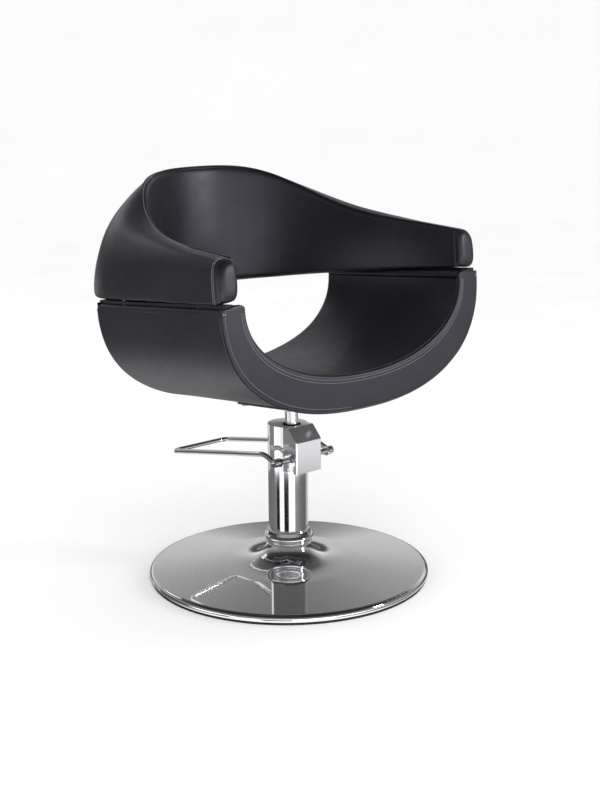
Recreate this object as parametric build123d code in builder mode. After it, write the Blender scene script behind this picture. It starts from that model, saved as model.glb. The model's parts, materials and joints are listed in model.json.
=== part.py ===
from build123d import *

import math
import os

# ---------------------------------------------------------------------------
# Salon styling chair: a round spun base, a hydraulic pump column with a foot
# lever, and an upholstered shell made of a U-shaped seat and a horseshoe back
# band. Millimetres, +Z up, origin on the floor at the centre of the base.
# The front of the chair faces -Y.
# ---------------------------------------------------------------------------

# Base
base_radius = 300.0
rim_tube_radius = 9.0
rim_lift = 3.0
shell_wall = 2.0
flare_radius = 155.0
flare_height = 33.0
neck_radius = 48.0
neck_height = 76.0
ring_inner_radius = 278.0
ring_outer_radius = 296.0
ring_ledge_radius = 285.0
ballast_radius = 284.0
ballast_bottom = 8.0
ballast_thickness = 8.0

# Pump column
column_radius = 42.5
cover_wall = 1.2
cover_bottom = 80.0
collar_radius = 54.0
collar_top = 104.0
foot_radius = 58.0
foot_thickness = 12.0
foot_bolt_circle = 88.0
reservoir_radius = 37.5
reservoir_bore = 34.0

# Pump head
head_bottom = 241.0
head_front_height = 308.0
head_top = 335.4
head_half_width = 34.7
head_front = 67.3
head_chamfer_back = 41.1

# Ram and its bore stand ahead of the column axis
ram_y = -12.5
ram_radius = 14.0
gland_radius = 19.0
cylinder_radius = 19.0
cylinder_bore = 15.5
cylinder_bottom = 36.0
cylinder_top = 290.0
piston_bottom = 75.0
piston_height = 20.0
spigot_radius = 8.0
running_gap = 0.05

# Foot lever and its cross shaft
shaft_y = -47.0
shaft_z = 270.5
shaft_radius = 6.0
lever_half_width = 75.0
lever_rod_radius = 5.5
lever_eye_radius = 9.0
lever_eye_width = 12.0
lever_bend_y = -10.5
lever_bend_z = 282.6
lever_end_y = 306.0
lever_end_z = 225.0
cam_throw = 7.5
cam_start_angle = 11.0
cam_lobe_radius = 8.5
plunger_radius = 6.0
plunger_length = 17.0

# Seat and back, in the frame of the leaning seat
seat_pivot_height = 400.0
seat_lean = 5.2
cradle_front = -239.0
cradle_rear = 172.0
facing_thickness = 6.0
outer_half_width = 343.0
inner_half_width = 296.0
cradle_shoulder = 619.5
outer_floor = 390.5
inner_floor = 461.0
outer_power = 2.38
inner_power = 2.15
cover_thickness = 8.0
ply_thickness = 15.0
top_front_height = 626.0
top_rear_height = 624.0
top_pad_thickness = 12.0
band_front = -239.0
cap_thickness = 17.0
cap_line = band_front + cap_thickness
band_bottom = 632.6
bolt_line_x = 327.5

# Mounting hardware
plate_size = 170.0
plate_thickness = 5.0
plate_top = 390.0
plate_bolt_spacing = 140.0
socket_radius = 22.0
socket_bottom = 373.0
socket_height = 40.0
taper_top_radius = 12.0

os.makedirs("parts", exist_ok=True)


def save(part, label):
    """Name one finished piece and write it as a STEP file."""
    part.label = label
    export_step(part, f"parts/{label}.step")


def turn_section(points, plane=Plane.XZ, axis=Axis.Z):
    """Revolve the closed half-section through (radius, height) points."""
    with BuildSketch(plane) as half:
        with BuildLine():
            Polyline(*points, close=True)
        make_face()
    revolve(half.sketch, axis=axis)


seat_plane = Plane(
    origin=(0, 0, seat_pivot_height),
    x_dir=(1, 0, 0),
    z_dir=(0, math.sin(math.radians(seat_lean)), math.cos(math.radians(seat_lean))),
)


def seat_point(x, y, z):
    """Place a point given in the leaning seat's own frame."""
    return seat_plane.from_local_coords(Vector(x, y, z - seat_pivot_height))


def seat_level(height):
    """Plane square to the seat's own upright, at a height in the seat's frame."""
    return seat_plane.offset(height - seat_pivot_height)


def seat_facing(y):
    """Plane that faces the front of the seat: sketch x is the chair's X, sketch y the seat's height."""
    origin = seat_point(0, y, 0)
    return Plane(origin=origin, x_dir=(1, 0, 0), z_dir=-seat_plane.y_dir)


def seat_side(x):
    """Plane that faces the chair's +X side: sketch x runs to the rear, sketch y upwards."""
    return Plane(origin=seat_point(x, 0, 0), x_dir=seat_plane.y_dir, z_dir=(1, 0, 0))


# ---------------------------------------------------------------------------
# Base
# ---------------------------------------------------------------------------

rim_centre_radius = base_radius - rim_tube_radius
rim_centre_height = rim_lift + rim_tube_radius
cone_run = rim_centre_radius - flare_radius
cone_angle = math.atan2(flare_height - rim_centre_height - rim_tube_radius, cone_run)


def base_outline(inset):
    """Draw one skin of the base shell, from the lip under the rim to the top of the neck."""
    bead = rim_tube_radius - inset
    lean_x = bead * math.sin(cone_angle)
    lean_z = bead * math.cos(cone_angle)
    lip = Line((286.0, rim_centre_height - bead), (rim_centre_radius, rim_centre_height - bead))
    rim = ThreePointArc(
        lip @ 1,
        (rim_centre_radius + bead, rim_centre_height),
        (rim_centre_radius + lean_x, rim_centre_height + lean_z),
    )
    cone = Line(rim @ 1, (flare_radius, flare_height - inset))
    flare = Spline(
        cone @ 1,
        (neck_radius - inset, neck_height - 4.0),
        tangents=[cone % 1, (-0.28, 0.96)],
    )
    neck = Line(flare @ 1, (neck_radius - inset, neck_height))
    return lip, neck


with BuildPart() as base_disc:
    with BuildSketch(Plane.XZ):
        with BuildLine():
            outer_lip, outer_neck = base_outline(0.0)
            inner_lip, inner_neck = base_outline(shell_wall)
            Line(outer_lip @ 0, inner_lip @ 0)
            Line(outer_neck @ 1, inner_neck @ 1)
        make_face()
    revolve(axis=Axis.Z)
save(base_disc.part, "base_disc")

with BuildPart() as floor_ring:
    turn_section(
        [
            (ring_inner_radius, 0),
            (ring_outer_radius, 0),
            (ring_outer_radius, rim_lift),
            (ring_ledge_radius, rim_lift),
            (ring_ledge_radius, ballast_bottom),
            (ring_inner_radius, ballast_bottom),
        ]
    )
save(floor_ring.part, "floor_ring")

with BuildPart() as ballast_plate:
    with BuildSketch(Plane.XY.offset(ballast_bottom)):
        Circle(ballast_radius)
        Circle(20.0, mode=Mode.SUBTRACT)
        with PolarLocations(foot_bolt_circle / 2, 4, start_angle=45):
            Circle(5.5, mode=Mode.SUBTRACT)
    extrude(amount=ballast_thickness)
save(ballast_plate.part, "ballast_plate")

foot_bottom = ballast_bottom + ballast_thickness
foot_top = foot_bottom + foot_thickness

with BuildPart() as pump_foot:
    with BuildSketch(Plane.XY.offset(foot_bottom)):
        Circle(foot_radius)
        with PolarLocations(foot_bolt_circle / 2, 4, start_angle=45):
            Circle(5.0, mode=Mode.SUBTRACT)
    extrude(amount=foot_thickness)
    with BuildSketch(Plane.XY.offset(foot_top)):
        Circle(reservoir_bore)
    extrude(amount=cylinder_bottom - foot_top)
save(pump_foot.part, "pump_foot")

with BuildPart() as foot_bolts:
    with BuildSketch(Plane.XY.offset(ballast_bottom)):
        with PolarLocations(foot_bolt_circle / 2, 4, start_angle=45):
            RegularPolygon(8.5, 6, major_radius=False)
    extrude(amount=-6.0)
    with BuildSketch(Plane.XY.offset(ballast_bottom)):
        with PolarLocations(foot_bolt_circle / 2, 4, start_angle=45):
            Circle(5.0)
    extrude(amount=ballast_thickness + foot_thickness)
save(foot_bolts.part, "foot_bolts")

# ---------------------------------------------------------------------------
# Pump column
# ---------------------------------------------------------------------------

with BuildPart() as collar:
    with BuildSketch(Plane.XZ):
        with BuildLine():
            foot = Line((column_radius, neck_height), (neck_radius, neck_height))
            lower_bead = ThreePointArc(foot @ 1, (neck_radius + 2.5, 79.0), (neck_radius, 82.0))
            upper_bead = ThreePointArc(lower_bead @ 1, (collar_radius, 88.5), (neck_radius, 95.0))
            shoulder = Line(upper_bead @ 1, (neck_radius - 2.0, collar_top - 2.0))
            lip = Line(shoulder @ 1, (neck_radius - 3.0, collar_top))
            top = Line(lip @ 1, (column_radius, collar_top))
            Line(top @ 1, foot @ 0)
        make_face()
    revolve(axis=Axis.Z)
save(collar.part, "collar")

with BuildPart() as column_cover:
    with BuildSketch(Plane.XY.offset(cover_bottom)):
        Circle(column_radius)
        Circle(column_radius - cover_wall, mode=Mode.SUBTRACT)
    extrude(amount=head_bottom - cover_bottom)
save(column_cover.part, "column_cover")

reservoir_top = head_bottom + 8.0

with BuildPart() as reservoir_tube:
    with BuildSketch(Plane.XY.offset(foot_top)):
        Circle(reservoir_radius)
        Circle(reservoir_bore, mode=Mode.SUBTRACT)
    extrude(amount=reservoir_top - foot_top)
save(reservoir_tube.part, "reservoir_tube")

ram_level = Plane(origin=(0, ram_y, 0))
ram_section = Plane.XZ.offset(-ram_y)
ram_axis = Axis((0, ram_y, 0), (0, 0, 1))

with BuildPart() as cylinder_tube:
    with BuildSketch(ram_level.offset(cylinder_bottom)):
        Circle(cylinder_radius)
        Circle(cylinder_bore, mode=Mode.SUBTRACT)
    extrude(amount=cylinder_top - cylinder_bottom)
save(cylinder_tube.part, "cylinder_tube")

with BuildPart() as cylinder_plug:
    with BuildSketch(ram_level.offset(cylinder_bottom)):
        Circle(cylinder_bore)
    extrude(amount=3.0)
save(cylinder_plug.part, "cylinder_plug")

with BuildPart() as suction_tube:
    with BuildSketch(Plane(origin=(22.0, 12.0, 52.0))):
        Circle(3.0)
        Circle(2.0, mode=Mode.SUBTRACT)
    extrude(amount=head_bottom - 52.0)
save(suction_tube.part, "suction_tube")

with BuildPart() as oil_strainer:
    with BuildSketch(Plane(origin=(22.0, 12.0, 38.0))):
        Circle(6.0)
    extrude(amount=14.0)
    fillet(oil_strainer.edges().filter_by(GeomType.CIRCLE), radius=1.5)
save(oil_strainer.part, "oil_strainer")

# ---------------------------------------------------------------------------
# Pump head
# ---------------------------------------------------------------------------

plunger_y = shaft_y - cam_throw
filler_x = -9.0
filler_y = 8.5
filler_radius = 3.6
chamber_front = -63.3
chamber_rear = -38.0
chamber_half_width = 9.0
chamber_top = 282.0
plunger_bore_top = 312.0
notch_depth = 10.7
notch_rear = -24.0
notch_roof = 288.0
gland_bottom = cylinder_top
gland_top = 327.0

with BuildPart() as pump_head:
    with BuildSketch(Plane.XY.offset(head_bottom)):
        Circle(column_radius)
        with Locations((0, -head_front / 2)):
            Rectangle(2 * head_half_width, head_front)
    extrude(amount=head_top - head_bottom)
    fillet(pump_head.edges().filter_by(Axis.Z).group_by(Axis.Y)[0], radius=2.5)
    # Sloping front face of the block.
    with BuildSketch(Plane.YZ):
        with BuildLine():
            Polyline(
                (-head_front - 5.0, head_front_height - 5.19),
                (-head_chamfer_back, head_top),
                (-head_chamfer_back, head_top + 10.0),
                (-head_front - 5.0, head_top + 10.0),
                close=True,
            )
        make_face()
    extrude(amount=head_half_width + 5.0, both=True, mode=Mode.SUBTRACT)
    # Side notches, each stepped, with a cheek left standing around the cam chamber.
    with BuildSketch(Plane.YZ):
        with BuildLine():
            Polyline(
                (-61.5, 258.0),
                (-61.5, 284.0),
                (notch_rear, notch_roof),
                (notch_rear, 262.0),
                (-37.5, 262.0),
                (-37.5, head_bottom - 1.0),
                (-57.0, head_bottom - 1.0),
                (-57.0, 258.0),
                close=True,
            )
        make_face()
    notch_floor = head_half_width - notch_depth
    extrude(amount=head_half_width + 10.0, both=True, mode=Mode.SUBTRACT)
    with BuildSketch(Plane.XY.offset(head_bottom)):
        with Locations((0, (chamber_front + notch_rear) / 2)):
            Rectangle(2 * notch_floor, notch_rear - chamber_front)
    extrude(amount=notch_roof - head_bottom)
    # Reservoir seat, ram bore, cam chamber, plunger bore, shaft bore and filler hole.
    with BuildSketch(Plane.XY.offset(head_bottom)):
        Circle(reservoir_radius)
    extrude(amount=reservoir_top - head_bottom, mode=Mode.SUBTRACT)
    with BuildSketch(ram_level.offset(head_bottom)):
        Circle(gland_radius)
    extrude(amount=head_top - head_bottom, mode=Mode.SUBTRACT)
    with BuildSketch(Plane.XY.offset(head_bottom)):
        with Locations((0, (chamber_front + chamber_rear) / 2)):
            Rectangle(2 * chamber_half_width, chamber_rear - chamber_front)
    extrude(amount=chamber_top - head_bottom, mode=Mode.SUBTRACT)
    with BuildSketch(Plane.XY.offset(chamber_top)):
        with Locations((0, plunger_y)):
            Circle(plunger_radius + running_gap)
    extrude(amount=plunger_bore_top - chamber_top, mode=Mode.SUBTRACT)
    with BuildSketch(Plane.YZ):
        with Locations((shaft_y, shaft_z)):
            Circle(shaft_radius + running_gap)
    extrude(amount=head_half_width + 5.0, both=True, mode=Mode.SUBTRACT)
    with BuildSketch(Plane.XY.offset(head_top)):
        with Locations((filler_x, filler_y)):
            Circle(filler_radius)
    extrude(amount=-12.0, mode=Mode.SUBTRACT)
save(pump_head.part, "pump_head")

with BuildPart() as head_gasket:
    with BuildSketch(Plane.XY.offset(head_bottom - 3.0)):
        Circle(column_radius - cover_wall)
        Circle(reservoir_radius, mode=Mode.SUBTRACT)
    extrude(amount=3.0)
save(head_gasket.part, "head_gasket")

with BuildPart() as gland_bush:
    with BuildSketch(ram_level.offset(gland_bottom)):
        Circle(gland_radius)
        Circle(ram_radius + running_gap, mode=Mode.SUBTRACT)
    extrude(amount=gland_top - gland_bottom)
save(gland_bush.part, "gland_bush")

with BuildPart() as wiper_seal:
    turn_section(
        [
            (ram_radius + running_gap, gland_top),
            (gland_radius, gland_top),
            (gland_radius, head_top + 0.8),
            (ram_radius + 1.8, head_top + 1.4),
            (ram_radius + running_gap, head_top + 1.0),
        ],
        ram_section,
        ram_axis,
    )
save(wiper_seal.part, "wiper_seal")

with BuildPart() as filler_screw:
    with BuildSketch(Plane.XY.offset(head_top - 10.0)):
        with Locations((filler_x, filler_y)):
            Circle(filler_radius)
    extrude(amount=9.0)
    with BuildSketch(Plane.XY.offset(head_top - 1.0)):
        with Locations((filler_x, filler_y)):
            RegularPolygon(2.5, 6)
    extrude(amount=-5.0, mode=Mode.SUBTRACT)
save(filler_screw.part, "filler_screw")

# ---------------------------------------------------------------------------
# Foot lever, cross shaft, cam and plunger
# ---------------------------------------------------------------------------

with BuildPart() as foot_lever:
    with BuildLine():
        loop = FilletPolyline(
            (-lever_half_width, shaft_y, shaft_z),
            (-lever_half_width, lever_bend_y, lever_bend_z),
            (-lever_half_width, lever_end_y, lever_end_z),
            (lever_half_width, lever_end_y, lever_end_z),
            (lever_half_width, lever_bend_y, lever_bend_z),
            (lever_half_width, shaft_y, shaft_z),
            radius=(40.0, 17.0, 17.0, 40.0),
        )
    with BuildSketch(Plane(origin=loop @ 0, z_dir=loop % 0)):
        Circle(lever_rod_radius)
    sweep()
    for side in (-1, 1):
        eye_start = Plane.YZ.offset(side * lever_half_width - lever_eye_width / 2)
        with BuildSketch(eye_start):
            with Locations((shaft_y, shaft_z)):
                Circle(lever_eye_radius)
        extrude(amount=lever_eye_width)
        with BuildSketch(eye_start):
            with Locations((shaft_y, shaft_z)):
                Circle(shaft_radius)
        extrude(amount=lever_eye_width, mode=Mode.SUBTRACT)
save(foot_lever.part, "foot_lever")

shaft_half_length = lever_half_width + 2.0

with BuildPart() as cross_shaft:
    with BuildSketch(Plane.YZ):
        with Locations((shaft_y, shaft_z)):
            Circle(shaft_radius)
    extrude(amount=shaft_half_length, both=True)
save(cross_shaft.part, "cross_shaft")


def on_shaft(start, width, across, sides):
    """Add one ring or hex nut on the cross shaft, from a place along X."""
    with BuildSketch(Plane.YZ.offset(start)) as ring:
        with Locations((shaft_y, shaft_z)):
            if sides:
                RegularPolygon(across / 2, sides, major_radius=False)
            else:
                Circle(across / 2)
            Circle(shaft_radius, mode=Mode.SUBTRACT)
    extrude(ring.sketch, amount=width)


eye_inner = lever_half_width - lever_eye_width / 2

with BuildPart() as lever_nuts:
    on_shaft(eye_inner - 7.0, 7.0, 17.0, 6)
    on_shaft(-eye_inner, 7.0, 17.0, 6)
save(lever_nuts.part, "lever_nuts")

with BuildPart() as shaft_collars:
    on_shaft(notch_floor + 0.4, 8.0, 16.0, 0)
    on_shaft(-notch_floor - 8.4, 8.0, 16.0, 0)
save(shaft_collars.part, "shaft_collars")

with BuildPart() as collar_screws:
    for side in (-1, 1):
        with BuildSketch(Plane(origin=(side * (notch_floor + 4.4), shaft_y, shaft_z + 8.0))):
            Circle(2.0)
        extrude(amount=1.6)
save(collar_screws.part, "collar_screws")

cam_half_width = 6.0
lobe_y = shaft_y - cam_throw * math.cos(math.radians(cam_start_angle))
lobe_z = shaft_z - cam_throw * math.sin(math.radians(cam_start_angle))

with BuildPart() as pump_cam:
    with BuildSketch(Plane.YZ.offset(-cam_half_width)):
        with Locations((shaft_y, shaft_z)):
            Circle(shaft_radius + 1.0)
        with Locations((lobe_y, lobe_z)):
            Circle(cam_lobe_radius)
        with Locations((shaft_y, shaft_z)):
            Circle(shaft_radius, mode=Mode.SUBTRACT)
    extrude(amount=2 * cam_half_width)
save(pump_cam.part, "pump_cam")

plunger_bottom = lobe_z + cam_lobe_radius + 0.35

with BuildPart() as plunger:
    with BuildSketch(Plane(origin=(0, plunger_y, plunger_bottom))):
        Circle(plunger_radius)
    extrude(amount=plunger_length)
    fillet(plunger.edges().filter_by(GeomType.CIRCLE).group_by(Axis.Z)[0], radius=0.8)
save(plunger.part, "plunger")

spring_wire = 0.7
spring_bottom = plunger_bottom + plunger_length + spring_wire
spring_height = plunger_bore_top - spring_wire - 0.1 - spring_bottom

with BuildPart() as plunger_spring:
    with BuildLine():
        coil = Helix(
            pitch=spring_height / 4,
            height=spring_height,
            radius=4.0,
            center=(0, plunger_y, spring_bottom),
        )
    with BuildSketch(Plane(origin=coil @ 0, z_dir=coil % 0)):
        Circle(spring_wire)
    sweep(is_frenet=True)
save(plunger_spring.part, "plunger_spring")

# ---------------------------------------------------------------------------
# Ram, piston and the hardware that carries the seat
# ---------------------------------------------------------------------------

with BuildPart() as piston:
    with BuildSketch(ram_level.offset(piston_bottom)):
        Circle(cylinder_bore - running_gap)
        Circle(spigot_radius + running_gap, mode=Mode.SUBTRACT)
    extrude(amount=piston_height)
    # Groove for the cup seal.
    with BuildSketch(ram_level.offset(piston_bottom + 7.0)):
        Circle(cylinder_bore)
        Circle(12.5, mode=Mode.SUBTRACT)
    extrude(amount=6.0, mode=Mode.SUBTRACT)
save(piston.part, "piston")

with BuildPart() as piston_seal:
    with BuildSketch(ram_level.offset(piston_bottom + 7.0)):
        Circle(cylinder_bore - 0.03)
        Circle(12.5, mode=Mode.SUBTRACT)
    extrude(amount=6.0)
save(piston_seal.part, "piston_seal")

piston_top = piston_bottom + piston_height
taper_start = socket_bottom + 4.0
taper_end = socket_bottom + socket_height - 4.0
circlip_height = 2.0

with BuildPart() as ram:
    turn_section(
        [
            (0, piston_bottom - 6.0),
            (spigot_radius, piston_bottom - 6.0),
            (spigot_radius, piston_bottom - 2.3),
            (spigot_radius - 1.5, piston_bottom - 2.3),
            (spigot_radius - 1.5, piston_bottom - 0.3),
            (spigot_radius, piston_bottom - 0.3),
            (spigot_radius, piston_top + 0.1),
            (ram_radius, piston_top + 0.1),
            (ram_radius, taper_start),
            (taper_top_radius, taper_end),
            (0, taper_end),
        ],
        ram_section,
        ram_axis,
    )
save(ram.part, "ram")

with BuildPart() as piston_circlip:
    with BuildSketch(ram_level.offset(piston_bottom - 2.3)):
        Circle(spigot_radius + 2.0)
        Circle(spigot_radius - 1.5, mode=Mode.SUBTRACT)
        with Locations((0, 8.0)):
            Rectangle(5.0, 8.0, mode=Mode.SUBTRACT)
    extrude(amount=circlip_height)
save(piston_circlip.part, "piston_circlip")

with BuildPart() as seat_socket:
    turn_section(
        [
            (ram_radius, socket_bottom),
            (socket_radius, socket_bottom),
            (socket_radius, socket_bottom + socket_height),
            (taper_top_radius, socket_bottom + socket_height),
            (taper_top_radius, taper_end),
            (ram_radius, taper_start),
        ],
        ram_section,
        ram_axis,
    )
save(seat_socket.part, "seat_socket")


def plate_bolt_places():
    """The four bolts that hold the plate, in a square round the ram."""
    return GridLocations(plate_bolt_spacing, plate_bolt_spacing, 2, 2)


plate_level = Plane(origin=seat_point(0, ram_y, plate_top), x_dir=(1, 0, 0), z_dir=seat_plane.z_dir)

with BuildPart() as mounting_plate:
    with BuildSketch(plate_level):
        RectangleRounded(plate_size, plate_size, 14.0)
        with plate_bolt_places():
            Circle(4.4, mode=Mode.SUBTRACT)
    extrude(amount=-plate_thickness)
    with BuildSketch(ram_level.offset(socket_bottom)):
        Circle(socket_radius)
    extrude(amount=socket_height, mode=Mode.SUBTRACT)
save(mounting_plate.part, "mounting_plate")

ply_bottom_height = outer_floor + cover_thickness
ply_top_height = ply_bottom_height + ply_thickness
bolt_top = ply_top_height + 2.0

with BuildPart() as plate_bolts:
    with BuildSketch(plate_level.offset(-plate_thickness)):
        with plate_bolt_places():
            RegularPolygon(6.5, 6, major_radius=False)
    extrude(amount=-5.3)
    with BuildSketch(plate_level.offset(-plate_thickness)):
        with plate_bolt_places():
            Circle(4.0)
    extrude(amount=bolt_top - plate_top + plate_thickness)
save(plate_bolts.part, "plate_bolts")

with BuildPart() as tee_nuts:
    with BuildSketch(plate_level.offset(ply_top_height + 1.0 - plate_top)):
        with plate_bolt_places():
            Circle(11.0)
            Circle(4.0, mode=Mode.SUBTRACT)
    extrude(amount=1.5)
save(tee_nuts.part, "tee_nuts")

# ---------------------------------------------------------------------------
# Seat: a U-shaped cradle of bent plywood between soft pads
# ---------------------------------------------------------------------------

curve_steps = 20
top_reach = cradle_shoulder + 14.0


def cradle_line(half_width, floor, power):
    """Draw the U of one layer, open at the top, and return its two upper ends."""
    points = []
    for step in range(curve_steps + 1):
        angle = math.pi * step / curve_steps
        side = -math.copysign(abs(math.cos(angle)) ** (2 / power), math.cos(angle))
        drop = abs(math.sin(angle)) ** (2 / power)
        points.append((half_width * side, cradle_shoulder - (cradle_shoulder - floor) * drop))
    left = Line((-half_width, top_reach), (-half_width, cradle_shoulder))
    Spline(*points, tangents=[(0, -1), (0, 1)])
    right = Line((half_width, cradle_shoulder), (half_width, top_reach))
    return left @ 0, right @ 1


outer_layer = (outer_half_width, outer_floor, outer_power)
ply_outer_layer = (outer_half_width - cover_thickness, ply_bottom_height, outer_power)
ply_inner_layer = (outer_half_width - cover_thickness - ply_thickness, ply_top_height, 2.34)
inner_layer = (inner_half_width, inner_floor, inner_power)

top_slope = math.atan2(top_front_height - top_rear_height, cradle_rear - cradle_front)
top_cut = Plane(
    origin=seat_point(0, cradle_front, top_front_height),
    x_dir=(1, 0, 0),
    z_dir=seat_plane.z_dir * math.cos(top_slope) + seat_plane.y_dir * math.sin(top_slope),
)


def cradle_slab(outer, inner, front, rear, cut_plane):
    """Extrude the space between two layers from front to rear and trim its sloping top."""
    with BuildSketch(seat_facing(front)) as layer:
        with BuildLine():
            outer_left, outer_right = cradle_line(*outer)
            inner_left, inner_right = cradle_line(*inner)
            Line(outer_left, inner_left)
            Line(outer_right, inner_right)
        make_face()
    extrude(layer.sketch, amount=front - rear)
    split(bisect_by=cut_plane, keep=Keep.BOTTOM)


def bolt_clearance(radius, low, high):
    """Bore the four plate bolt holes and the socket hole through a layer."""
    with BuildSketch(plate_level.offset(low - plate_top)) as holes:
        with plate_bolt_places():
            Circle(radius)
    extrude(holes.sketch, amount=high - low, mode=Mode.SUBTRACT)
    with BuildSketch(ram_level.offset(socket_bottom)) as socket_hole:
        Circle(socket_radius + 1.0)
    extrude(socket_hole.sketch, amount=socket_height + 1.0, mode=Mode.SUBTRACT)


arm_bolt_places = (-150.0, 90.0)


def arm_bores(radius, low, high):
    """Bore the holes of the four bolts that tie the back band to the cradle."""
    with BuildSketch(seat_level(low)) as bores:
        for side in (-1, 1):
            for y in arm_bolt_places:
                with Locations((side * bolt_line_x, y)):
                    Circle(radius)
    extrude(bores.sketch, amount=high - low, mode=Mode.SUBTRACT)


body_front = cradle_front + facing_thickness
body_rear = cradle_rear - facing_thickness
pad_cut = top_cut.offset(-top_pad_thickness)

with BuildPart() as seat_shell:
    cradle_slab(ply_outer_layer, ply_inner_layer, body_front, body_rear, pad_cut)
    bolt_clearance(4.4, ply_bottom_height - 5.0, ply_top_height + 8.0)
    bolt_clearance(11.5, ply_top_height + 1.0, ply_top_height + 8.0)
    arm_bores(4.2, top_rear_height - 30.0, top_rear_height)
save(seat_shell.part, "seat_shell")

with BuildPart() as seat_cover:
    cradle_slab(outer_layer, ply_outer_layer, body_front, body_rear, pad_cut)
    bolt_clearance(5.0, outer_floor - 5.0, ply_bottom_height + 5.0)
save(seat_cover.part, "seat_cover")

with BuildPart() as seat_pad:
    cradle_slab(ply_inner_layer, inner_layer, body_front, body_rear, pad_cut)
    bolt_clearance(12.0, ply_top_height - 5.0, ply_top_height + 6.0)
save(seat_pad.part, "seat_pad")

with BuildPart() as front_facing:
    cradle_slab(outer_layer, inner_layer, cradle_front, body_front, top_cut)
save(front_facing.part, "front_facing")

with BuildPart() as rear_facing:
    cradle_slab(outer_layer, inner_layer, body_rear, cradle_rear, top_cut)
save(rear_facing.part, "rear_facing")

with BuildPart() as arm_top_pads:
    cradle_slab(outer_layer, inner_layer, body_front, body_rear, top_cut)
    split(bisect_by=pad_cut, keep=Keep.TOP)
    arm_bores(4.4, top_rear_height - 40.0, top_front_height + 10.0)
save(arm_top_pads.part, "arm_top_pads")

# ---------------------------------------------------------------------------
# Back band: a horseshoe that closes over the arms and rises to the backrest
# ---------------------------------------------------------------------------


def arch(half_width, straight_to, back, power):
    """Plan outline of the band: straight arms, then one rounded end."""
    return half_width, straight_to, back, power


inner_top = arch(296.0, -200.0, 259.0, 2.2)
inner_foot = arch(296.0, -200.0, 270.0, 2.25)
outer_foot = arch(343.0, 114.6, 305.0, 2.65)
frame_inner = arch(320.0, -60.0, 277.0, 2.3)
frame_outer = arch(335.0, -60.0, 290.0, 2.3)


def reach(outline, angle):
    """Distance from the band's centre to an outline, along one direction in plan."""
    half_width, straight_to, back, power = outline
    near, far = 0.0, 800.0
    for _ in range(40):
        middle = (near + far) / 2
        x = abs(middle * math.cos(angle)) / half_width
        y = max(middle * math.sin(angle) - straight_to, 0.0) / (back - straight_to)
        if x**power + y**power > 1:
            far = middle
        else:
            near = middle
    return near


def arm_offset(outline, y):
    """Half-width of an outline beside one place along the arm."""
    half_width, straight_to, back, power = outline
    run = max(y - straight_to, 0.0) / (back - straight_to)
    return half_width * (1 - run**power) ** (1 / power)


def crest_height(y):
    """Height of the inner top edge: a gentle slope along the arms, then a rise to the back."""
    rise = min(max((y + 100.0) / 360.0, 0.0), 1.0) ** 1.75
    return 717.0 + 0.15 * (y - cap_line) + 45.5 * (1 - math.cos(math.pi * rise))


def foot_height(y):
    """Height of the inner lower edge, which falls a little towards the back."""
    return 636.0 - 0.036 * (min(y, 200.0) - cap_line)


def roundness(y):
    """How far the section has changed from a square arm (0) to a domed back (1)."""
    share = min(max((y + 100.0) / 360.0, 0.0), 1.0)
    return (share * share * (3 - 2 * share)) ** 0.4 if share > 0 else 0.0


def band_section(y, near, far, foot_near, plane):
    """Sketch one section: inner wall, crest and outer wall, between distances from the centre."""
    blend = roundness(y)
    power = 5.2 + (1.59 - 5.2) * blend
    low = band_bottom
    high = crest_height(y)
    outer_points = []
    for step in range(7):
        angle = math.pi / 2 * (1 - step / 6)
        out = math.cos(angle) ** (2 / power) if step else 0.0
        up = math.sin(angle) ** (2 / power) if step < 6 else 0.0
        swell = 11.8 * blend * 4 * out * (1 - out) if up > 0.5 else 0.0
        outer_points.append((near + (far - near) * out, low + (high - low) * up + swell))
    with BuildSketch(plane) as outline:
        with BuildLine():
            wall = Line((foot_near, foot_height(y)), (near, high))
            skin = Spline(*outer_points)
            Line(skin @ 1, wall @ 0)
        make_face()
    return outline.sketch


def arm_section(y, side):
    """Section square across one arm; side is -1 or 1."""
    plane = Plane(
        origin=seat_point(0, y, 0),
        x_dir=(side, 0, 0),
        z_dir=seat_plane.y_dir * -side,
    )
    near = arm_offset(inner_top, y)
    far = arm_offset(outer_foot, y)
    return band_section(y, near, far, arm_offset(inner_foot, y), plane)


def fan_section(turn):
    """Section on the upright plane through the band's centre, turned from -X round by the back."""
    outward = seat_plane.x_dir * -math.cos(turn) + seat_plane.y_dir * math.sin(turn)
    near = reach(inner_top, turn)
    far = reach(outer_foot, turn)
    plane = Plane(origin=seat_point(0, 0, 0), x_dir=outward, z_dir=outward.cross(seat_plane.z_dir))
    return band_section(near * math.sin(turn), near, far, reach(inner_foot, turn), plane)


arm_stations = (band_front, -180.0, -120.0, -60.0)
fan_steps = 16

band_sections = [arm_section(y, -1) for y in arm_stations]
band_sections += [fan_section(math.pi * step / fan_steps) for step in range(fan_steps + 1)]
band_sections += [arm_section(y, 1) for y in reversed(arm_stations)]

with BuildPart() as band_body:
    loft(band_sections)


arch_low = 600.0
arch_high = 920.0


def arch_prism(outline, mode):
    """Raise the plan area inside one outline through the whole height of the band."""
    half_width, straight_to, back, power = outline
    front_y = band_front - 20.0
    points = []
    for step in range(curve_steps + 1):
        angle = math.pi * step / curve_steps
        side = -math.copysign(abs(math.cos(angle)) ** (2 / power), math.cos(angle))
        depth = abs(math.sin(angle)) ** (2 / power)
        points.append((half_width * side, straight_to + (back - straight_to) * depth))
    with BuildSketch(seat_level(arch_low)) as region:
        with BuildLine():
            Polyline(
                (-half_width, straight_to),
                (-half_width, front_y),
                (half_width, front_y),
                (half_width, straight_to),
            )
            Spline(*points, tangents=[(0, 1), (0, -1)])
        make_face()
    extrude(region.sketch, amount=arch_high - arch_low, mode=mode)


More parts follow.
